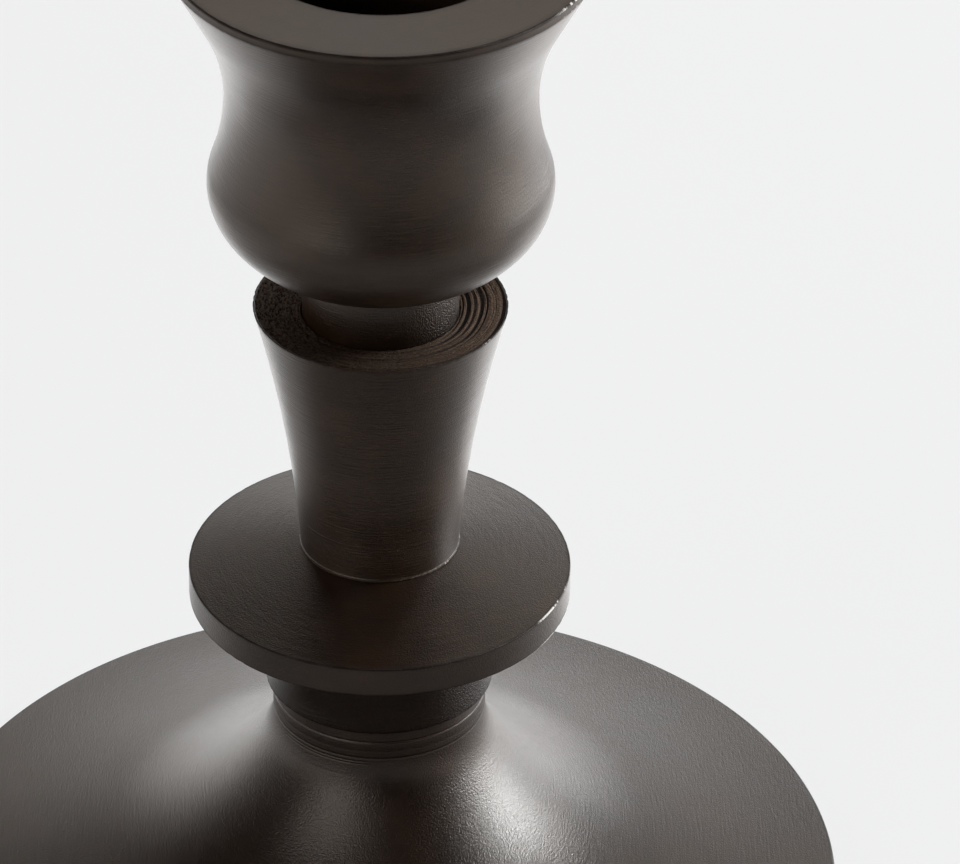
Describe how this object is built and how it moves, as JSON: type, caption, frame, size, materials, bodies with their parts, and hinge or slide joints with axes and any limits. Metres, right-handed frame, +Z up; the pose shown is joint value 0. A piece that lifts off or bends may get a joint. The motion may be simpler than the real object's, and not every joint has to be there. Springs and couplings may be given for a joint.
{
  "type": "candlestick",
  "caption": "Short turned wooden candlestick with a flared cup for one taper candle, a tapered stem, a drip disc and a wide bell-shaped base.",
  "frame": {"origin": "centre of the felt pad's lower face, on the table", "axes": "+Z up along the candlestick's axis; the body is round, so X and Y are free"},
  "size_m": [0.0854, 0.0854, 0.104],
  "materials": {
    "ebonised_wood": "dark stain under thin satin lacquer",
    "zinc_plated_steel": "bright zinc plate",
    "brass": "plain turned",
    "felt": "pressed wool felt"
  },
  "bodies": {
    "root": {"base": "ebonised_wood", "collar": "ebonised_wood", "drip_disc": "ebonised_wood", "stem": "ebonised_wood", "candle_cup": "ebonised_wood", "tie_rod": "zinc_plated_steel", "threaded_insert": "brass", "washer": "zinc_plated_steel", "hex_nut": "zinc_plated_steel", "felt_pad": "felt"}
  },
  "joints": []
}
